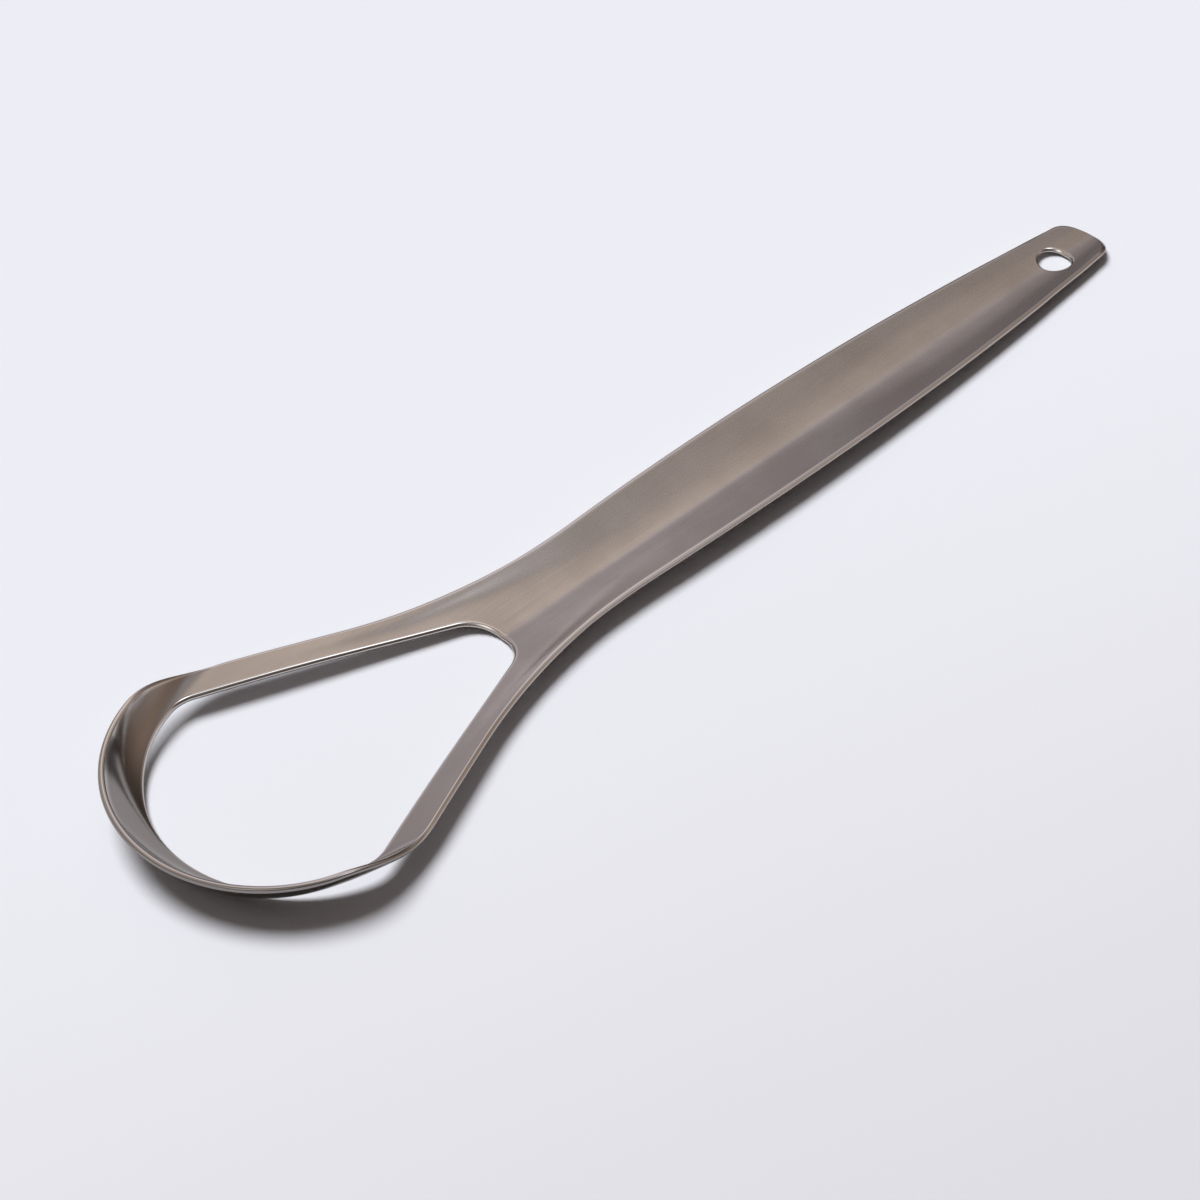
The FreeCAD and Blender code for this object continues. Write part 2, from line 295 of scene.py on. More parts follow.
@dataclass
class Form:
    """Heights of the sheet's upper face above the table, in millimetres and degrees."""

    outline: Outline = field(default_factory=Outline)
    sheet: float = 0.8                # thickness of the steel
    rim_front_height: float = 5.75    # upper edge of the rim at the front
    rim_side_height: float = 5.95     # and before it folds down to the arms
    rim_bowl: float = 0.6             # hollow of the rim's face
    rim_lift: float = 27.0            # angle round the rim where its lower edge starts to rise
    fold_start: float = 70.0          # angle where the rim's upper edge starts to fold down
    fold_end: float = 108.0           # and where it is level with the arm
    rim_turn: float = 94.0            # angle of the upper edge that faces the start of the inner corner
    arm_turn: float = 106.0           # and of the one that faces its end
    arm_height: float = 3.15          # outer edge of an arm behind the fold
    arm_drop: float = 0.5             # inner edge of an arm below its outer edge, behind the fold
    fork_height: float = 2.78         # outer edge where the arms join the neck
    grip_height: float = 3.0          # outer edge of the handle at its crest
    crest_run: float = 30.0           # fork to that crest
    tail_height: float = 1.75         # outer edge at the tail
    keel_round: float = 0.8           # how softly the handle's two flanks meet
    floor_run: float = 34.0           # behind the fork, where the neck's floor has drawn in
    flank_foot: tuple[float, float] = (0.84, 0.32)   # foot of the flanks at its two ends, as shares
    foot_soft: tuple[float, float] = (0.10, 0.20)    # how softly they bend up there
    floor_slope: tuple[float, float] = (0.25, 1.7)   # slope of the floor, where the flanks add 1 to it
    flange_run: float = 20.0          # behind the fork, where the arms' flat flange runs out
    flange_foot: float = 0.88         # where that flange starts
    flange_ease: float = 0.8          # by how much it is flatter than the flanks
    flange_soft: float = 0.05         # how softly it starts
    cup_start: float = 96.0           # where the handle starts to cup towards the tail
    cup_run: float = 26.0             # how far behind that it is fully cupped
    cup_foot: float = 0.22            # by how much the foot of the flanks moves out there
    cup_slope: float = 1.2            # by how much the floor is flatter there
    settling_rounds: int = 30         # rounds in which the foot of the rim settles

    def __post_init__(self) -> None:
        """Settle the foot of the rim, whose lower corner rests on the table."""
        self.foot = self.sheet
        for _ in range(self.settling_rounds):
            rise = self.rim_front_height - self.foot - CROWN * self.rim_bowl
            self.foot = self.sheet * math.cos(math.atan2(rise, self.outline.rim_run_front))

    def edge_height(self, x: float) -> float:
        """Height of the outer edge from the fold to the tail.

        Args:
            x: How far it is from the front.

        Returns:
            The height, level at the crest and still falling at the tail.
        """
        plan = self.outline
        crest_x = plan.fork_x + self.crest_run
        if x < plan.fork_x:
            t = (x - plan.arm_start[0]) / (plan.fork_x - plan.arm_start[0])
            return between(self.arm_height, self.fork_height, smooth(t))
        if x < crest_x:
            return between(self.fork_height, self.grip_height, smooth((x - plan.fork_x) / self.crest_run))
        t = (x - crest_x) / (plan.length - crest_x)
        return between(self.grip_height, self.tail_height, t * t * (2.0 - t))

    def rim_height(self, degrees: float) -> float:
        """Height of the rim's upper edge.

        Args:
            degrees: Angle round the rim, from the front.

        Returns:
            The height.
        """
        rise = min(degrees / self.fold_start, 1.0) ** 2
        level = between(self.rim_front_height, self.rim_side_height, rise)
        fold = smooth((self.fold_end - degrees) / (self.fold_end - self.fold_start))
        return between(self.arm_height, level, fold)

    def rim_face(self, turn: float, q: float) -> float:
        """Height of the rim's face.

        Args:
            turn: Angle round the rim, in degrees from the front.
            q: Share of the way from its inner to its outer edge.

        Returns:
            The height, hollowed between the edges.
        """
        lift = smooth((turn - self.rim_lift) / (self.arm_turn - self.rim_lift))
        low = between(self.foot, self.arm_height - self.arm_drop, lift)
        folded = smooth((turn - self.fold_start) / (self.fold_end - self.fold_start))
        hollow = self.rim_bowl * (1.0 - folded)
        return between(low, self.rim_height(turn), q) - hollow * CROWN * q * (1.0 - q)

    def arm_face(self, t: float, q: float, x_out: float, spot: Plan) -> float:
        """Height of an arm's face, flat behind the fold and one with the neck's floor at the fork.

        Args:
            t: Share of the way from the fold to the fork.
            q: Share of the way from its inner to its outer edge.
            x_out: Where this row meets the outer edge.
            spot: The point in plan.

        Returns:
            The height.
        """
        plan = self.outline
        high = self.edge_height(x_out)
        if x_out < plan.arm_start[0]:
            turn = math.degrees(math.acos(1.0 - x_out / plan.rim_radius))
            high += self.rim_height(turn) - self.arm_height
        flat = between(self.arm_height - self.arm_drop, high, q)
        return between(flat, self.trough_face(spot), smooth(t))

    def trough_face(self, spot: Plan) -> float:
        """Height of the neck and handle: a floor between flanks, which draws in to a soft keel.

        Args:
            spot: The point in plan.

        Returns:
            The height.
        """
        plan = self.outline
        x, y = float(spot[0]), abs(float(spot[1]))
        width = float(plan.outer(min(x, plan.length))[1])
        drawn = smooth((x - plan.fork_x) / self.floor_run)
        cup = smooth((x - self.cup_start) / self.cup_run)
        foot = between(*self.flank_foot, drawn) + self.cup_foot * cup
        soft = between(*self.foot_soft, drawn)
        slope = between(*self.floor_slope, drawn) - self.cup_slope * cup
        flange = self.flange_ease * (1.0 - smooth((x - plan.fork_x) / self.flange_run))

        def profile(u: float) -> float:
            """Rise across the sheet, with the keel at 0 and the outer edge at 1."""
            keel = slope * math.hypot(u, self.keel_round / width)
            return keel + bend(u - foot, soft) - flange * bend(u - self.flange_foot, self.flange_soft)

        share = (profile(y / width) - profile(0.0)) / (profile(1.0) - profile(0.0))
        return self.sheet + (self.edge_height(x) - self.sheet) * share


@dataclass(frozen=True)
class Stretch:
    """A run of rows that cross the sheet from its inner path to its outer edge."""

    zone: Zone
    rows: int
    inner: Path                                      # share of the run to a point of the inner path
    outer: Path                                      # and of the outer edge
    height: Callable[[float, float, Plan], float]    # share, column and plan point to a height
    open_inside: bool                                # whether the inner path is an edge of the sheet
    polish_and_shade: tuple[float, float] = (0.0, 0.0)         # and how far the rows are buffed and painted darker as shade, at both ends


@dataclass(frozen=True)
class Spot:
    """A point of the skin, with its normal and its mark."""

    place: np.ndarray
    normal: np.ndarray
    mark: Mark

    def on(self, side: Side) -> "Spot":
        """The same spot on one half of the pressing."""
        flip = np.array((1.0, side.value, 1.0))
        return Spot(self.place * flip, self.normal * flip, self.mark)


class Skin:
    """Corners and faces of one closed piece, with a normal for each corner of each face."""

    def __init__(self) -> None:
        """Start with no face."""
        self.places: list[tuple[float, float, float]] = []
        self.marks: list[Mark] = []
        self.faces: list[list[int]] = []
        self.normals: list[np.ndarray] = []
        self._found: dict[tuple[int, ...], int] = {}

    def _corner(self, spot: Spot) -> int:
        """Find the corner at a spot, or add it.

        Args:
            spot: The spot.

        Returns:
            Number of the corner.
        """
        key = tuple(int(round(value * GRID)) for value in spot.place)
        if key not in self._found:
            self._found[key] = len(self.places)
            self.places.append(tuple(float(value) for value in spot.place))
            self.marks.append(spot.mark)
        return self._found[key]

    def face(self, spots: list[Spot], outward: Optional[np.ndarray] = None) -> None:
        """Add a face, wound so that it faces outwards.

        Args:
            spots: Its corners in order.
            outward: Where it faces, if it is flat. Without it, the corners' own normals shade it.
        """
        places = np.array([spot.place for spot in spots])
        lean = np.cross(places, np.roll(places, -1, axis=0)).sum(axis=0)
        aim = sum(spot.normal for spot in spots) if outward is None else outward
        if float(lean @ aim) < 0.0:
            spots, lean = spots[::-1], -lean
        numbers = [self._corner(spot) for spot in spots]
        kept = [i for i, number in enumerate(numbers) if numbers.index(number) == i]
        if len(kept) < 3:
            return
        self.faces.append([numbers[i] for i in kept])
        self.normals += [spots[i].normal if outward is None else unit(lean) for i in kept]

    def mesh(self, name: str, shift: float) -> bpy.types.Mesh:
        """Make the mesh of the piece.

        Args:
            name: Name of the mesh.
            shift: How far the layout is moved along X into the frame, in millimetres.

        Returns:
            The mesh in metres, with its points' marks as attributes.
        """
        mesh = bpy.data.meshes.new(name)
        mesh.from_pydata([((x + shift) * MM, y * MM, z * MM) for x, y, z in self.places], [], self.faces)
        mesh.polygons.foreach_set("use_smooth", [True] * len(mesh.polygons))
        for column, label in enumerate(("edge", "polish_and_shade")):
            layer = mesh.attributes.new(label, "FLOAT", "POINT")
            layer.data.foreach_set("value", [mark[column] for mark in self.marks])
        mesh.normals_split_custom_set([tuple(normal) for normal in self.normals])
        mesh.update()
        return mesh


@dataclass
class Pressing:
    """The scraper's sheet: rows across its +Y half, which are mirrored, rounded at the edges and closed."""

    form: Form = field(default_factory=Form)
    edge_round: float = 0.38          # radius that the deburred edges have
    edge_bevel: float = 0.85          # how nearly their middle is a flat bevel, from 0 to 1
    edge_steps: int = 6               # facets of each rounded edge
    fold_polish_and_shade: float = 0.6          # how far the folds are buffed and painted darker as shade, from 0 at the neck to 1 at the rim
    columns: int = 24                 # points of a row
    edge_column: float = 0.6          # first column from an edge, in millimetres
    edge_share: float = 0.13          # and at most this share of a row
    rim_rows: int = 66                # rows of each run, from the front of the rim to the tip of the tail
    corner_rows: int = 16
    arm_rows: int = 40
    leg_rows: int = 28
    neck_rows: int = 24
    handle_rows: int = 60
    before_hole_rows: int = 12
    hole_rows: int = 28
    behind_hole_rows: int = 16
    neck_fan: float = 7.6             # outer edge ahead of the opening's end, where their rows meet
    hole_fan: float = 3.6             # outer edge before the hanging hole, where its rows start
    tip_fan: float = 63.0             # angle round the tail's end where they stop
    tip_run: float = 2.2              # rows' inner path behind the hole

    def _on_axis(self, start: float, end: float) -> Path:
        """Path along the long axis."""
        return lambda t: np.array((between(start, end, t), 0.0))

    def _on_edge(self, start: float, end: float) -> Path:
        """Path along the outer edge."""
        return lambda t: self.form.outline.outer(between(start, end, t))

    def _trough(self, t: float, q: float, spot: Plan) -> float:
        """Height of the neck, handle and tail, which only the point in plan decides."""
        return self.form.trough_face(spot)

    def _loop_stretches(self) -> list[Stretch]:
        """Lay out the loop.

        Returns:
            Runs of the rim, of its inner corner and of an arm.
        """
        plan, form = self.form.outline, self.form
        fold_x = float(polar(plan.rim_centre, plan.rim_radius, form.arm_turn)[0])

        def fold_turn(t: float) -> float:
            """Angle of the upper edge that faces a point of the inner corner."""
            return between(form.rim_turn, form.arm_turn, t)

        def arm_x(t: float) -> float:
            """Where a row of the arm meets the outer edge."""
            return between(fold_x, plan.fork_x, t)

        return [
            Stretch(Zone.RIM, self.rim_rows,
                    lambda t: polar(plan.front_centre, plan.front_radius, plan.front_turn * t),
                    lambda t: polar(plan.rim_centre, plan.rim_radius, form.rim_turn * t),
                    lambda t, q, spot: form.rim_face(form.rim_turn * t, q), True, (1.0, 1.0)),
            Stretch(Zone.RIM, self.corner_rows,
                    lambda t: polar(plan.corner_centre, plan.corner_radius,
                                    between(plan.front_turn, plan.corner_turn, t)),
                    lambda t: polar(plan.rim_centre, plan.rim_radius, fold_turn(t)),
                    lambda t, q, spot: form.rim_face(fold_turn(t), q), True, (1.0, self.fold_polish_and_shade)),
            Stretch(Zone.LEFT_ARM, self.arm_rows,
                    lambda t: plan.inner(between(plan.corner_end[0], plan.fork_x, t)),
                    lambda t: plan.outer(arm_x(t)),
                    lambda t, q, spot: form.arm_face(t, q, arm_x(t), spot), True, (self.fold_polish_and_shade, 0.0)),
        ]

    def _grip_stretches(self) -> list[Stretch]:
        """Lay out the neck and the handle.

        Returns:
            Runs of the neck beside the opening's round end and behind it, and of the handle.
        """
        plan = self.form.outline
        apex_x = float(plan.neck_centre[0]) + plan.neck_radius
        meet_x = apex_x + self.neck_fan
        lead = plan.fork_lead
        arc_turn = 90.0 - plan.arm_angle + plan.arm_taper
        leg = lead + math.radians(arc_turn) * plan.neck_radius

        def leg_inner(t: float) -> Plan:
            """Edge of the opening: the end of the arm's straight edge, then the round end.

            Args:
                t: Share of the run.

            Returns:
                The point.
            """
            run = leg * t
            if run < lead:
                return plan.inner(plan.fork_x + run)
            turn = arc_turn * (run - lead) / (leg - lead)
            return polar(plan.neck_centre, plan.neck_radius, 180.0 - arc_turn + turn)

        return [
            Stretch(Zone.NECK, self.leg_rows, leg_inner,
                    self._on_edge(plan.fork_x, meet_x), self._trough, True),
            Stretch(Zone.NECK, self.neck_rows, self._on_axis(apex_x, plan.grip_start),
                    self._on_edge(meet_x, plan.grip_start), self._trough, False),
            Stretch(Zone.HANDLE, self.handle_rows, self._on_axis(plan.grip_start, plan.tail_start),
                    self._on_edge(plan.grip_start, plan.tail_start), self._trough, False),
        ]

    def _tail_stretches(self) -> list[Stretch]:
        """Lay out the hanging end.

        Returns:
            Runs before, beside and behind the hanging hole.
        """
        plan = self.form.outline
        hole = np.array((plan.length - plan.hang_inset, 0.0))
        radius = plan.hang_hole / 2.0
        before, behind = hole[0] - radius, hole[0] + radius
        fan_start = before - self.hole_fan
        fan_run = plan.tail_x - fan_start + math.radians(90.0 - self.tip_fan) * plan.tail_radius

        def beside_hole(t: float) -> Plan:
            """Outer edge beside the hole: the handle's side, then the start of the round end.

            Args:
                t: Share of the run.

            Returns:
                The point.
            """
            x = fan_start + fan_run * t
            if x < plan.tail_x:
                return plan.outer(x)
            return plan.tail_end(90.0 - math.degrees((x - plan.tail_x) / plan.tail_radius))

        return [
            Stretch(Zone.TAIL, self.before_hole_rows, self._on_axis(plan.tail_start, before),
                    self._on_edge(plan.tail_start, fan_start), self._trough, False),
            Stretch(Zone.TAIL, self.hole_rows, lambda t: polar(hole, radius, 180.0 * t),
                    beside_hole, self._trough, True),
            Stretch(Zone.TAIL, self.behind_hole_rows, self._on_axis(behind, behind + self.tip_run),
                    lambda t: plan.tail_end(self.tip_fan * (1.0 - t)), self._trough, False),
        ]

    def _shares(self, length: float, open_inside: bool) -> np.ndarray:
        """Divide a row into columns.

        Args:
            length: Length of the row in plan.
            open_inside: Whether the row starts at an edge of the sheet.

        Returns:
            Columns as shares of the row, closer to the edges of the sheet.
        """
        first = min(self.edge_share, self.edge_column / length)
        if open_inside:
            middle = np.linspace(first, 1.0 - first, self.columns - 2)
            return np.concatenate(((0.0,), middle, (1.0,)))
        return np.concatenate((np.linspace(0.0, 1.0 - first, self.columns - 1), (1.0,)))

    def _lay_rows(self) -> None:
        """Work out the points of every row, and which runs have an inner edge."""
        rows: list[np.ndarray] = []
        self.polish_and_shade: list[float] = []
        self.row_zones: list[Zone] = []
        self.open_runs: list[bool] = []
        runs = self._loop_stretches() + self._grip_stretches() + self._tail_stretches()
        for run in runs:
            count = run.rows + 1 if run is runs[-1] else run.rows
            for step in range(count):
                t = step / run.rows
                start, end = run.inner(t), run.outer(t)
                opened = run.open_inside or (step == 0 and bool(self.open_runs) and self.open_runs[-1])
                row = []
                for q in self._shares(float(np.linalg.norm(end - start)), opened):
                    spot = between(start, end, q)
                    row.append((spot[0], spot[1], run.height(t, q, spot)))
                rows.append(np.array(row))
                self.polish_and_shade.append(between(*run.polish_and_shade, t))
            self.row_zones += [run.zone] * run.rows
            self.open_runs += [run.open_inside] * run.rows
        self.face = np.array(rows)
        self.face[np.abs(self.face[:, :, 1]) < TINY, 1] = 0.0

    def _find_normals(self) -> None:
        """Work out the upper face's normals, and the way through the sheet within each row."""
        # An edge crosses the long axis at right angles.
        on_axis = self.face[:, :, 1] == 0.0
        self.along = tangents(self.face)
        self.along[on_axis] = (0.0, 1.0, 0.0)
        across = np.swapaxes(tangents(np.swapaxes(self.face, 0, 1)), 0, 1)
        normal = unit(np.cross(across, self.along))
        # Where rows start at the keel, the two halves meet without a crease.
        keel = on_axis.copy()
        keel[0], keel[-1] = False, False
        for i, opened in enumerate(self.open_runs):
            if opened:
                keel[i:i + 2, 0] = False
        for i, j in zip(*np.nonzero(keel)):
            slope = self.face[i + 1, j] - self.face[i - 1, j]
            normal[i, j] = unit(np.array((-slope[2], 0.0, slope[0])))
        normal[on_axis, 1] = 0.0
        self.normal = unit(normal * np.where(normal[:, :, 2:] < 0.0, -1.0, 1.0))
        ahead = unit(self.face[:, -1:, :2] - self.face[:, :1, :2])
        level = np.sum(across[:, :, :2] * ahead, axis=2, keepdims=True)
        self.through = unit(np.concatenate((-across[:, :, 2:] * ahead, level), axis=2))

    def _edge_out(self, normal: np.ndarray, row: int, column: int) -> np.ndarray:
        """Find the way out of the sheet at an edge.

        Args:
            normal: What it is square to, beside the edge itself.
            row: The row.
            column: Its first or last column.

        Returns:
            The direction, at length one.
        """
        out = np.cross(normal, self.along[row, column])
        neighbour = 1 if column == 0 else column - 1
        away = self.face[row, column] - self.face[row, neighbour]
        return unit(out if float(out @ away) > 0.0 else -out)

    def _edge_ring(self, row: int, column: int) -> list[Spot]:
        """Round an edge of the sheet in one row.

        Args:
            row: The row.
            column: Its first or last column.

        Returns:
            Spots from the upper to the lower face, of which the upper rounding is marked for the painted
            highlight.
        """
        r = self.edge_round
        through, normal = self.through[row, column], self.normal[row, column]
        out = self._edge_out(through, row, column)
        shade_out = self._edge_out(normal, row, column)
        root = self.face[row, column] - out * r
        ring = []
        for depth, start, bright in ((r, 0.0, 1.0), (self.form.sheet - r, 90.0, 0.0)):
            centre = root - through * depth
            for step in range(self.edge_steps + 1):
                t = step / self.edge_steps
                a = math.radians(start + 90.0 * t)
                place = centre + (out * math.sin(a) + through * math.cos(a)) * r
                lean = a + self.edge_bevel * FLAT_BEVEL * math.sin(2.0 * math.pi * t)
                shade = unit(shade_out * math.sin(lean) + normal * math.cos(lean))
                ring.append(Spot(place, shade, (bright, self.polish_and_shade[row])))
        return ring

    def _row(self, row: int) -> dict[Band, list[Spot]]:
        """Gather all spots of one row.

        Args:
            row: The row.

        Returns:
            Its spots by band, with none for the inner edge where the sheet goes on.
        """
        last = self.columns - 1
        opened = any(self.open_runs[i] for i in (row - 1, row) if 0 <= i < len(self.open_runs))
        outer = self._edge_ring(row, last)
        inner = self._edge_ring(row, 0) if opened else []
        mark = (0.0, self.polish_and_shade[row])
        below = self.face[row] - self.through[row] * self.form.sheet
        upper = [Spot(place, normal, mark) for place, normal in zip(self.face[row], self.normal[row])]
        lower = [Spot(place, -normal, mark) for place, normal in zip(below, self.normal[row])]
        upper[last], lower[last] = outer[0], outer[-1]
        if opened:
            upper[0], lower[0] = inner[0], inner[-1]
        return {Band.UPPER: upper, Band.OUTER: outer, Band.LOWER: lower, Band.INNER: inner}

    def _skin(self, zone: Zone) -> Skin:
        """Close the skin of one zone.

        Args:
            zone: The zone, of which an arm has one half and the others both.

        Returns:
            Its corners and faces in the layout's millimetres.
        """
        skin = Skin()
        laid_out = Zone.LEFT_ARM if zone is Zone.RIGHT_ARM else zone
        steps = [i for i, held in enumerate(self.row_zones) if held is laid_out]
        for side in zone.sides():
            for i in steps:
                for band in Band:
                    if band is Band.INNER and not self.open_runs[i]:
                        continue
                    a, b = self.rows[i][band], self.rows[i + 1][band]
                    for j in range(len(a) - 1):
                        corners = (a[j], a[j + 1], b[j + 1], b[j])
                        skin.face([spot.on(side) for spot in corners])
            if steps[0] > 0:
                self._close(skin, steps[0], side, -1.0)
            if steps[-1] + 1 < len(self.rows) - 1:
                self._close(skin, steps[-1] + 1, side, 1.0)
        return skin

    def _close(self, skin: Skin, row: int, side: Side, way: float) -> None:
        """Close a zone across the sheet, where it meets the next one face to face.

        Args:
            skin: Skin of the zone.
            row: Row where it ends.
            side: Half of the pressing.
            way: 1 where the zone ends towards the tail, and -1 where it ends towards the rim.
        """
        spots = self.rows[row]
        outward = self.face[row + 1, 1] - self.face[row - 1, 1]
        outward = outward * np.array((way, way * side.value, way))
        upper, lower = spots[Band.UPPER], spots[Band.LOWER]
        for j in range(self.columns - 1):
            corners = (upper[j], upper[j + 1], lower[j + 1], lower[j])
            skin.face([spot.on(side) for spot in corners], outward)
        for band in (Band.OUTER, Band.INNER):
            if spots[band]:
                skin.face([spot.on(side) for spot in spots[band]], outward)

    def build(self, shift: float) -> dict[Zone, bpy.types.Object]:
        """Build every zone of the pressing.

        Args:
            shift: How far the layout is moved along X into the frame, in millimetres.

        Returns:
            The zones' objects.
        """
        self._lay_rows()
        self._find_normals()
        self.rows = [self._row(i) for i in range(len(self.face))]
        pieces = {}
        for zone in Zone:
            name = zone.value + "_sheet"
            pieces[zone] = add_object(name, self._skin(zone).mesh(name, shift))
        return pieces


class Wire:
    """A socket's value in a shader, so that shader maths reads as Python."""

    def __init__(self, shader: "Shader", socket: Optional[bpy.types.NodeSocket]) -> None:
        """Wrap an output socket of a shader's node."""
        self.shader = shader
        self.socket = socket

    def _math(self, operation: str, first: "Value", second: "Value") -> "Wire":
        """Add a Math node for two values."""
        return self.shader.add("ShaderNodeMath", {"operation": operation}, {0: first, 1: second})

    def __add__(self, other: "Value") -> "Wire":
        """This value plus another."""
        return self._math("ADD", self, other)

    def __radd__(self, other: "Value") -> "Wire":
        """Another value plus this one."""
        return self._math("ADD", other, self)

    def __sub__(self, other: "Value") -> "Wire":
        """This value less another."""
        return self._math("SUBTRACT", self, other)

    def __rsub__(self, other: "Value") -> "Wire":
        """Another value less this one."""
        return self._math("SUBTRACT", other, self)

    def __mul__(self, other: "Value") -> "Wire":
        """This value times another."""
        return self._math("MULTIPLY", self, other)

    def __rmul__(self, other: "Value") -> "Wire":
        """Another value times this one."""
        return self._math("MULTIPLY", other, self)

    def __pow__(self, other: "Value") -> "Wire":
        """This value to a power."""
        return self._math("POWER", self, other)

    def at_least(self, other: "Value") -> "Wire":
        """The greater of this value and another."""
        return self._math("MAXIMUM", self, other)


Value = Union[Wire, float]
Paint = Union[Wire, Colour]


class Shader:
    """A node tree that is being wired."""

    def __init__(self, owner: Union[bpy.types.Material, bpy.types.World]) -> None:
        """Start from an empty tree.

        Args:
            owner: The material or world that has the tree.
        """
        owner.use_nodes = True
        self.tree = owner.node_tree
        self.tree.nodes.clear()

    def add(self, kind: str, settings: Optional[dict[str, Any]] = None,
            sockets: Optional[dict[Union[int, str], Any]] = None, output: Union[int, str] = 0) -> Wire:
        """Add a node.

        Args:
            kind: Type of the node.
            settings: Its settings, which are set first.
            sockets: Values or links of its input sockets, by name or number.
            output: The output that is wanted.

        Returns:
            That output.
        """
        node = self.tree.nodes.new(kind)
        for name, value in (settings or {}).items():
            setattr(node, name, value)
        for name, value in (sockets or {}).items():
            if isinstance(value, Wire):
                self.tree.links.new(value.socket, node.inputs[name])
            else:
                node.inputs[name].default_value = value
        return Wire(self, node.outputs[output] if len(node.outputs) else None)

    def colour_mix(self, share: Value, first: Paint, second: Paint, blend: Blend = Blend.MIX) -> Wire:
        """Mix two colours.

        Args:
            share: How much of the second.
            first: A colour or a wire.
            second: A colour or a wire.
            blend: How they are mixed.

        Returns:
            The mixed colour.
        """
        ends = [end if isinstance(end, Wire) else (*end, 1.0) for end in (first, second)]
        settings = {"data_type": "RGBA", "blend_type": blend.value}
        return self.add("ShaderNodeMix", settings, {0: share, **dict(zip(MIX_COLOURS, ends))}, MIX_RESULT)

    def stretched(self, place: Wire, scale: tuple[float, float, float]) -> Wire:
        """Coordinates scaled along each axis."""
        return self.add("ShaderNodeVectorMath", {"operation": "MULTIPLY"}, {0: place, 1: scale})

    def along(self, place: Wire, way: Union[Vector, tuple[float, float, float]]) -> Wire:
        """How far coordinates reach in a direction."""
        return self.add("ShaderNodeVectorMath", {"operation": "DOT_PRODUCT"}, {0: place, 1: way}, "Value")

    def noise(self, place: Wire, size: float, layers: float, strength: float = 0.5) -> Wire:
        """Smooth random values from 0 to 1.

        Args:
            place: Coordinates.
            size: Size of the largest spots, in the coordinates' unit.
            layers: How many finer layers are added.
            strength: How strong these are.

        Returns:
            The values.
        """
        return self.add("ShaderNodeTexNoise", {}, {
            "Vector": place, "Scale": 1.0 / size, "Detail": layers, "Roughness": strength}, "Fac")

    def ramp(self, value: Wire, low: float, high: float) -> Wire:
        """Share of the way that a value is between two bounds, eased and held at both ends."""
        return self.add("ShaderNodeMapRange", {"interpolation_type": "SMOOTHSTEP"}, {
            "Value": value, "From Min": low, "From Max": high})

    def mark(self, name: str) -> Wire:
        """A mark that the mesh carries at its points."""
        return self.add("ShaderNodeAttribute", {"attribute_name": name}, None, "Fac")


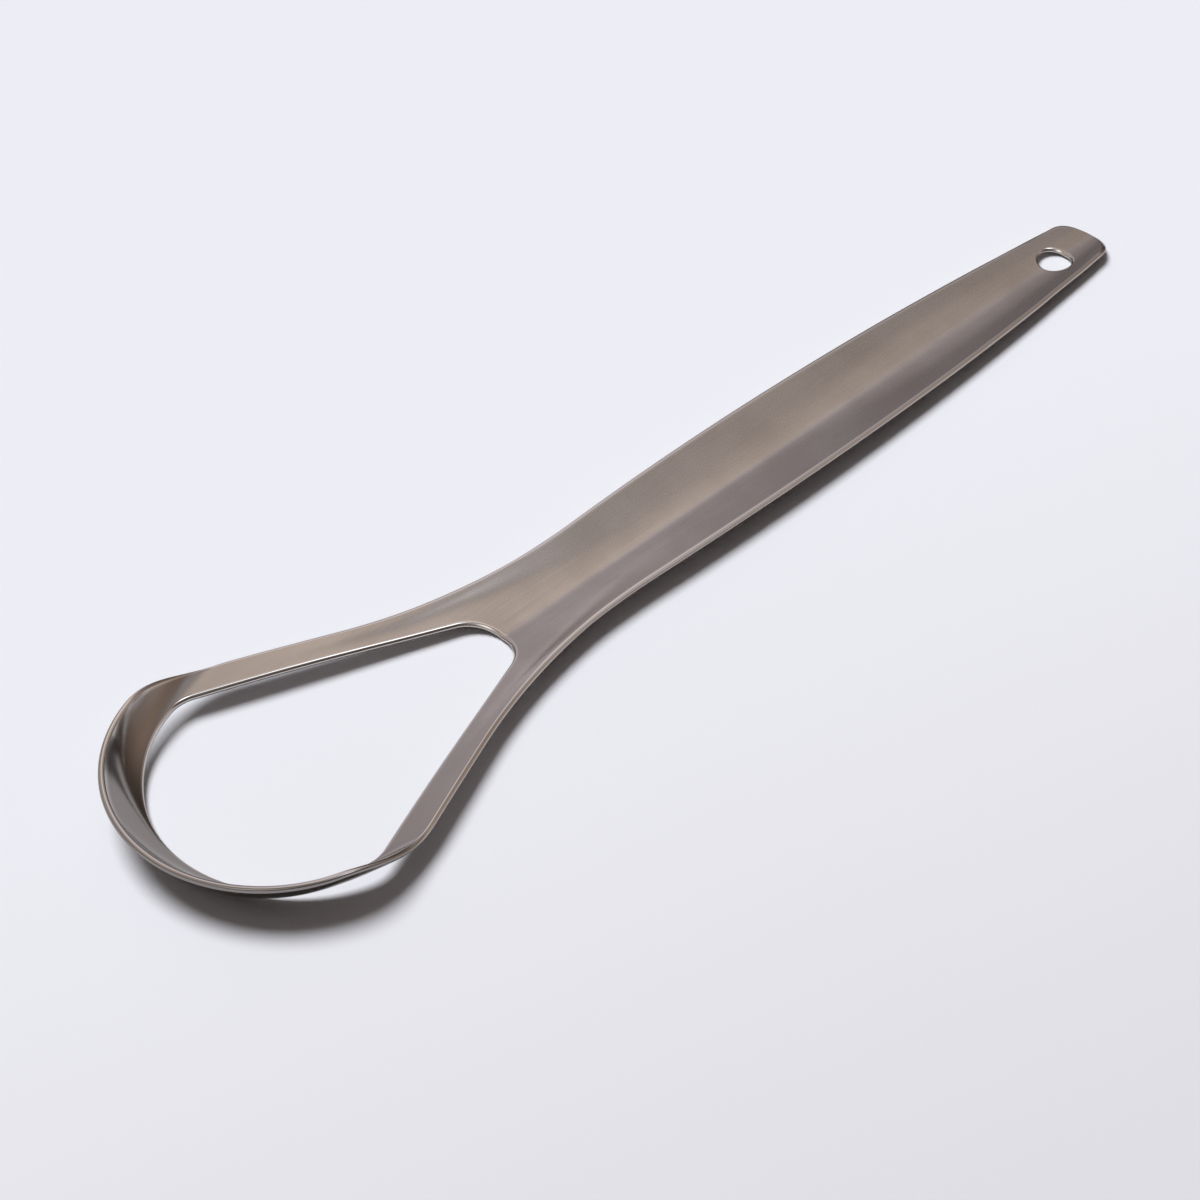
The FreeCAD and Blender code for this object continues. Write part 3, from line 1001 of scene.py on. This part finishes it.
@dataclass(frozen=True)
class SatinSteel:
    """Stainless steel as it leaves the tumbler: a fine satin grain, the rim and edges polished, with
    painted shade on the rim and a painted highlight on the edges.
    """

    colour: Colour = (0.43, 0.39, 0.36)         # the satin steel
    stained: Colour = (0.385, 0.345, 0.315)     # the same in dull patches
    shaded_rim: Colour = (0.28, 0.257, 0.242)       # the rim and its folds, painted darker as shade for the dim reflections in the rim's hollow
    deburred_highlight: Colour = (0.55, 0.515, 0.49)      # the upper roundings of the edges, lighter partly for their polish and partly as a painted highlight
    grazed: Colour = (0.66, 0.64, 0.62)         # how much of its glare a face seen along its surface keeps
    satin_rough: float = 0.27         # roughness of the handle
    buffed_rough: float = 0.11        # and of the rim
    edge_rough: float = 0.11          # and of the deburred edges
    cloud: float = 11.0               # size of the dull patches left by handling, in millimetres
    cloud_layers: float = 3.0         # finer layers of them
    cloud_strength: float = 0.6       # how strong these are
    cloud_change: float = 0.05        # by how much the roughness differs with the patches
    cloud_kept: float = 0.4           # share of that which buffed steel keeps
    dulled: tuple[float, float] = (0.35, 0.7)   # where on their noise the patches begin and are full
    grain: float = 0.16               # size of the satin grain
    grain_layers: float = 2.0         # finer layers of the grain and of the draw lines
    grain_change: float = 0.06        # by how much the roughness differs with the grain
    grain_depth: float = 0.0007       # in millimetres
    grain_kept: float = 0.15          # share of the relief that buffed steel keeps
    streak_length: float = 9.0        # length of the faint draw lines along the sheet
    streak_width: float = 0.22        # and their width
    streak_change: float = 0.05       # by how much the roughness differs with them
    streak_depth: float = 0.6         # their depth as a share of the grain's
    streak_share: float = 0.3         # how far they break up the dull patches

    def material(self) -> bpy.types.Material:
        """Make the finish.

        Returns:
            The material, which reads the marks of the sheet's points.
        """
        material = bpy.data.materials.new("satin_steel")
        shader = Shader(material)
        place = shader.add("ShaderNodeTexCoord", output="Object")
        grain = shader.noise(place, self.grain * MM, self.grain_layers)
        lines = shader.stretched(place, (self.streak_width / self.streak_length, 1.0, 1.0))
        streaks = shader.noise(lines, self.streak_width * MM, self.grain_layers)
        clouds = shader.noise(place, self.cloud * MM, self.cloud_layers, self.cloud_strength)
        edge, polish_and_shade = shader.mark("edge"), shader.mark("polish_and_shade")
        dull = (1.0 - polish_and_shade) * (1.0 - edge)
        satin = self.buffed_rough + (self.satin_rough - self.buffed_rough) * (1.0 - polish_and_shade)
        patchy = (clouds - NOISE_MIDDLE) * (2.0 * self.cloud_change)
        rough = satin + (self.edge_rough - satin) * edge
        rough = rough + patchy * (self.cloud_kept + (1.0 - self.cloud_kept) * dull)
        rough = rough + (grain - NOISE_MIDDLE) * self.grain_change
        rough = rough + (streaks - NOISE_MIDDLE) * self.streak_change
        tone = shader.ramp(clouds + (streaks - NOISE_MIDDLE) * self.streak_share, *self.dulled)
        colour = shader.colour_mix(tone * dull, self.colour, self.stained)
        # painted shade: the buffed rim and folds take a darker colour for the dim reflections in the rim's
        # hollow
        colour = shader.colour_mix(polish_and_shade, colour, self.shaded_rim)
        # partly real polish and partly painted highlight: the edges' upper roundings take a lighter colour
        colour = shader.colour_mix(edge, colour, self.deburred_highlight)
        relief = (grain + streaks * self.streak_depth) * (self.grain_kept + (1.0 - self.grain_kept) * dull)
        bump = shader.add("ShaderNodeBump", None, {
            "Strength": 1.0, "Distance": self.grain_depth * MM, "Height": relief})
        steel = shader.add("ShaderNodeBsdfPrincipled", None, {
            "Base Color": colour, "Metallic": 1.0, "Roughness": rough, "Normal": bump,
            "Specular Tint": (*self.grazed, 1.0)})
        shader.add("ShaderNodeOutputMaterial", None, {"Surface": steel})
        return material


@dataclass(frozen=True)
class PaleTable:
    """Plain pale table top, a little dimmer away from the window."""

    colour: Colour = (0.85, 0.865, 0.92)      # where it is palest
    shaded: Colour = (0.715, 0.71, 0.75)      # and where it is dimmest
    window: tuple[float, float, float] = (0.3, 0.95, 0.0)     # towards the window
    palest: float = 20.0              # how far that way it is palest, in millimetres
    dimmest: float = -140.0           # and how far that way it is dimmest
    cloud: float = 90.0               # size of its faint unevenness
    cloud_layers: float = 2.0         # finer layers of that
    cloud_share: float = 0.08         # share of the way from palest to dimmest that it takes up
    rough: float = 0.7
    gloss: float = 0.2                # level of its mirror light

    def material(self) -> bpy.types.Material:
        """Make the finish.

        Returns:
            The material.
        """
        material = bpy.data.materials.new("pale_table")
        shader = Shader(material)
        place = shader.add("ShaderNodeTexCoord", output="Object")
        dim = shader.ramp(shader.along(place, self.window), self.palest * MM, self.dimmest * MM)
        clouds = shader.noise(place, self.cloud * MM, self.cloud_layers)
        dim = dim + (clouds - NOISE_MIDDLE) * self.cloud_share
        colour = shader.colour_mix(dim, self.colour, self.shaded)
        top = shader.add("ShaderNodeBsdfPrincipled", None, {
            "Base Color": colour, "Roughness": self.rough, "Specular IOR Level": self.gloss})
        shader.add("ShaderNodeOutputMaterial", None, {"Surface": top})
        return material


@dataclass(frozen=True)
class Glow:
    """A soft patch of the room that the steel mirrors, bright or shaded."""

    azimuth: float                    # degrees from +X towards +Y
    elevation: float                  # degrees above the table
    spread: float                     # degrees from its middle to half of its strength
    colour: Colour                    # light that its middle adds, or share that a shaded one leaves

    def sharpness(self) -> float:
        """Power of the cosine that falls to half at its spread."""
        return math.log(0.5) / math.log(math.cos(math.radians(self.spread)))


@dataclass(frozen=True)
class SoftLight:
    """A broad lamp, far enough away to light the whole table alike."""

    name: str
    azimuth: float                    # degrees from +X towards +Y
    elevation: float                  # degrees above the table
    breadth: float                    # degrees that it fills
    level: float                      # light on the table, where 1 shows a colour as it is written
    colour: Colour

    def build(self) -> None:
        """Add the lamp, which the steel doesn't mirror because the room's patches stand for it."""
        lamp = bpy.data.lights.new(self.name, "SUN")
        lamp.angle = math.radians(self.breadth)
        lamp.energy = math.pi * self.level / math.sin(math.radians(self.elevation))
        lamp.color = self.colour
        holder = add_object(self.name, lamp)
        aim = direction(self.azimuth, self.elevation)
        holder.matrix_world = aim.to_track_quat("Z", "Y").to_matrix().to_4x4()
        holder.visible_glossy = False


@dataclass
class PhotoCamera:
    """The camera's place over the table, in degrees and in millimetres of the layout."""

    azimuth: float = 45.418           # direction of view round from +X towards +Y
    elevation: float = 43.493         # looking down
    roll: float = -0.358              # turn of the picture
    distance: float = 340.0           # camera to target
    target: tuple[float, float] = (62.673, -2.928)     # point of the table in the middle of the picture
    focal_pixels: float = 3016.19     # focal length in the image's pixels
    image_pixels: float = 1200.0      # width of the image
    sensor: float = 36.0              # width of the sensor
    farthest: float = 100000.0        # how far the camera sees

    def build(self, shift: float) -> None:
        """Add the camera and make it the scene's own.

        Args:
            shift: How far the layout is moved along X into the frame, in millimetres.
        """
        a, e, r = (math.radians(angle) for angle in (self.azimuth, self.elevation, self.roll))
        right = Vector((math.sin(a), -math.cos(a), 0.0))
        back = Vector((-math.cos(a) * math.cos(e), -math.sin(a) * math.cos(e), math.sin(e)))
        up = back.cross(right)
        side = right * math.cos(r) + up * math.sin(r)
        top = up * math.cos(r) - right * math.sin(r)
        eye = (Vector((self.target[0] + shift, self.target[1], 0.0)) + back * self.distance) * MM
        lens = bpy.data.cameras.new("photo_camera")
        lens.sensor_width = self.sensor
        lens.lens = self.focal_pixels / self.image_pixels * self.sensor
        lens.clip_start, lens.clip_end = MM, self.farthest * MM
        camera = add_object("photo_camera", lens)
        camera.matrix_world = Matrix.Translation(eye) @ Matrix((side, top, back)).transposed().to_4x4()
        bpy.context.scene.camera = camera


@dataclass
class Studio:
    """Plain studio: a pale table, a dim warm room that the steel mirrors, and broad soft lamps."""

    table_size: float = 8000.0        # millimetres
    table_drop: float = 0.02          # how far the table lies below the scraper, in millimetres
    table: PaleTable = field(default_factory=PaleTable)
    dim: Colour = (0.112, 0.090, 0.079)       # the room where no patch lights it
    glows: tuple[Glow, ...] = (
        # beyond the tail and overhead, mirrored by the handle and the arms
        Glow(38.0, 58.0, 16.0, (1.12, 1.02, 0.95)),
        Glow(-45.0, 64.0, 18.0, (0.56, 0.57, 0.63)),
        Glow(62.0, 12.0, 10.0, (0.88, 0.86, 0.97)),
        Glow(60.0, 33.0, 11.0, (0.40, 0.39, 0.46)),
        Glow(44.0, 37.0, 9.0, (0.36, 0.37, 0.44)),
        # low on the right, mirrored by the inside of the rim
        Glow(-33.0, 22.0, 20.0, (0.42, 0.325, 0.265)),
        Glow(-45.0, 0.0, 10.0, (0.40, 0.38, 0.37)),
        # on the right and in front, small and bright for the deburred edges
        Glow(-76.0, 54.0, 9.5, (4.0, 4.3, 4.6)),
        Glow(-155.0, 45.0, 12.0, (1.6, 1.55, 1.5)),
        # in front and on the left, for what faces that way
        Glow(-135.0, 44.0, 20.0, (0.36, 0.355, 0.37)),
        Glow(135.0, 46.0, 20.0, (0.66, 0.57, 0.50)),
        Glow(100.0, 16.0, 20.0, (0.52, 0.52, 0.55)),
        Glow(180.0, 22.0, 20.0, (0.42, 0.42, 0.44)),
    )
    shades: tuple[Glow, ...] = (              # darker places between the patches
        Glow(46.0, 11.0, 6.5, (0.35, 0.34, 0.34)),
        Glow(22.0, 44.0, 6.0, (0.76, 0.74, 0.72)),
    )
    fill: Colour = (0.022, 0.012, 0.008)      # the room's light on the table, apart from the lamps
    lamps: tuple[SoftLight, ...] = (
        SoftLight("window", 96.0, 64.0, 30.0, 0.875, (0.985, 0.995, 1.01)),
        SoftLight("ceiling", 80.0, 66.0, 120.0, 0.12, (1.0, 0.93, 0.87)),
    )

    def build_table(self) -> None:
        """Add the table top, which isn't part of the scraper."""
        half, drop = self.table_size * MM / 2.0, -self.table_drop * MM
        mesh = bpy.data.meshes.new("table_top")
        corners = [(-half, -half, drop), (half, -half, drop), (half, half, drop), (-half, half, drop)]
        mesh.from_pydata(corners, [], [(0, 1, 2, 3)])
        mesh.materials.append(self.table.material())
        add_object("table_top", mesh)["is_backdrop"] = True

    def build_room(self) -> None:
        """Make the dim warm room, whose soft patches are seen and mirrored but light nothing else."""
        world = bpy.data.worlds.new("soft_room")
        shader = Shader(world)
        way = shader.add("ShaderNodeTexCoord", output="Generated")
        colour: Paint = self.dim
        for blend, patches in ((Blend.ADD, self.glows), (Blend.MULTIPLY, self.shades)):
            for patch in patches:
                facing = shader.along(way, direction(patch.azimuth, patch.elevation))
                share = facing.at_least(0.0) ** patch.sharpness()
                colour = shader.colour_mix(share, colour, patch.colour, blend)
        shown = sum((shader.add("ShaderNodeLightPath", output="Is " + ray + " Ray")
                     for ray in ("Camera", "Glossy", "Transmission")), start=0.0)
        light = shader.add("ShaderNodeBackground", None, {
            "Color": shader.colour_mix(shown, self.fill, colour)})
        shader.add("ShaderNodeOutputWorld", None, {"Surface": light})
        bpy.context.scene.world = world

    def build(self) -> None:
        """Add the table, the room and the lamps."""
        self.build_table()
        self.build_room()
        for lamp in self.lamps:
            lamp.build()
        bpy.context.scene.view_settings.view_transform = "Standard"


@dataclass
class Scraper:
    """The whole scraper: its pressing, dressed in steel and put in the place of the frame's zones."""

    pressing: Pressing = field(default_factory=Pressing)
    finish: SatinSteel = field(default_factory=SatinSteel)

    def build(self, shift: float) -> None:
        """Build the zones, dress them and put them on the frame's body.

        Args:
            shift: How far the layout is moved along X into the frame, in millimetres.
        """
        steel = self.finish.material()
        for zone, piece in self.pressing.build(shift).items():
            mesh = piece.data
            mesh.materials.append(steel)
            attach(piece, BODY)
            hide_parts(zone.value)
            LOG.info("%s: %d corners, %d faces", piece.name, len(mesh.vertices), len(mesh.polygons))


def main() -> None:
    """Load the frame, dress the scraper and set up the studio."""
    logging.basicConfig(level=logging.INFO, format="%(name)s: %(message)s")
    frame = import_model()
    frame_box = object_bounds()
    LOG.info("frame with %d zones", len(frame["nodes"]))
    scraper = Scraper()
    shift = frame_box[1].x / MM - scraper.pressing.form.outline.length
    scraper.build(shift)
    Studio().build()
    PhotoCamera().build(shift)


if __name__ == "__main__":
    main()
